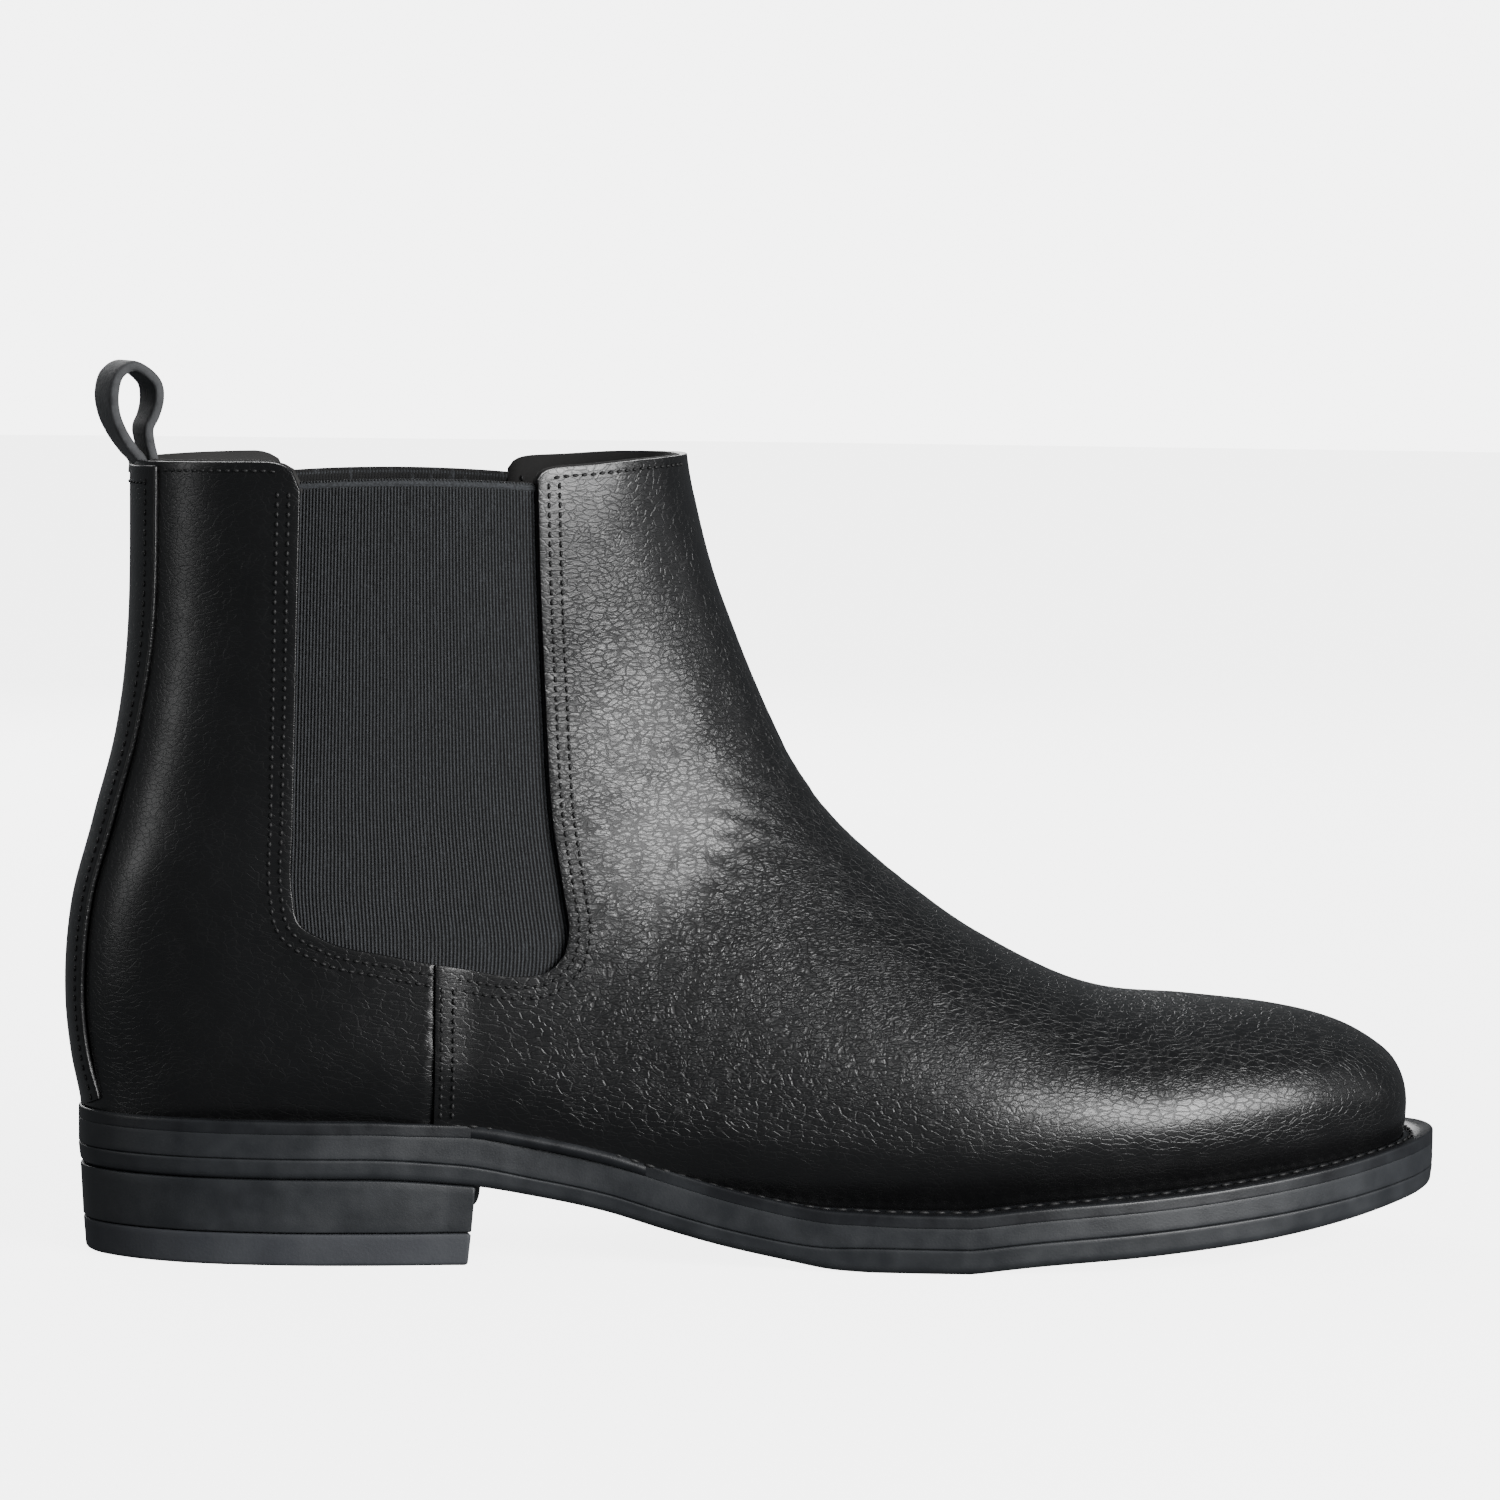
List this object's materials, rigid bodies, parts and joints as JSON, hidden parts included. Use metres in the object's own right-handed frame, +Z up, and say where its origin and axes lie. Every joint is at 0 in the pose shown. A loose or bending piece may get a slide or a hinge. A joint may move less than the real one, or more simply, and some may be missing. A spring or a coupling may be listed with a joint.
{
  "type": "chelsea boot",
  "caption": "Ankle-high leather boot with elastic side panels, a rear pull loop and a layered rubber sole with a low block heel.",
  "frame": {"origin": "centre of the boot's bounding box, on the ground", "axes": "+X to the toe, +Z up, -Y to the outer side of the foot"},
  "size_m": [0.307, 0.1062, 0.1961],
  "materials": {
    "upper_leather": "smooth black full-grain leather, satin polish with fine creases",
    "elastic": "ribbed woven elastic, matt charcoal",
    "lining_leather": "matt dark lining leather",
    "sole_rubber": "satin charcoal rubber with fine moulded lines",
    "fibre_board": "pressed fibre board",
    "cork": "granulated cork",
    "foam": "soft foam pad",
    "spring_steel": "rolled spring steel",
    "nail_steel": "drawn wire",
    "loop_webbing": "close-woven black webbing with a leathery face"
  },
  "bodies": {
    "boot": {"vamp": "upper_leather", "quarter_outer": "upper_leather", "quarter_inner": "upper_leather", "backstay": "upper_leather", "gore_outer": "elastic", "gore_inner": "elastic", "toe_puff": "fibre_board", "heel_counter": "fibre_board", "vamp_lining": "lining_leather", "quarter_lining": "lining_leather", "insole_board": "fibre_board", "cork_filler": "cork", "shank": "spring_steel", "sock_liner": "lining_leather", "heel_pad": "foam", "welt": "sole_rubber", "midsole": "sole_rubber", "outsole": "sole_rubber", "heel_base": "sole_rubber", "heel_cap": "sole_rubber", "heel_nail_1": "nail_steel", "heel_nail_2": "nail_steel", "heel_nail_3": "nail_steel", "heel_nail_4": "nail_steel", "heel_nail_5": "nail_steel", "loop_tail": "loop_webbing"},
    "shaft_front": {"shaft_front": "upper_leather", "shaft_front_lining": "lining_leather"},
    "pull_loop": {"pull_loop": "loop_webbing"}
  },
  "joints": [
    {"name": "shaft_opening", "type": "hinge", "parent": "boot", "child": "shaft_front", "pos_m": [0.02248, 0.00041, 0.089], "axis": [0, 1, 0], "range_deg": [0, 8], "stiffness_Nm_per_rad": 12, "deforming": ["gore_outer", "gore_inner"]},
    {"name": "pull_loop_bend", "type": "hinge", "parent": "boot", "child": "pull_loop", "pos_m": [-0.13644, 0.00041, 0.17605], "axis": [-0.1736, 0.9848, 0], "range_deg": [-50, 60], "stiffness_Nm_per_rad": 0.02}
  ]
}
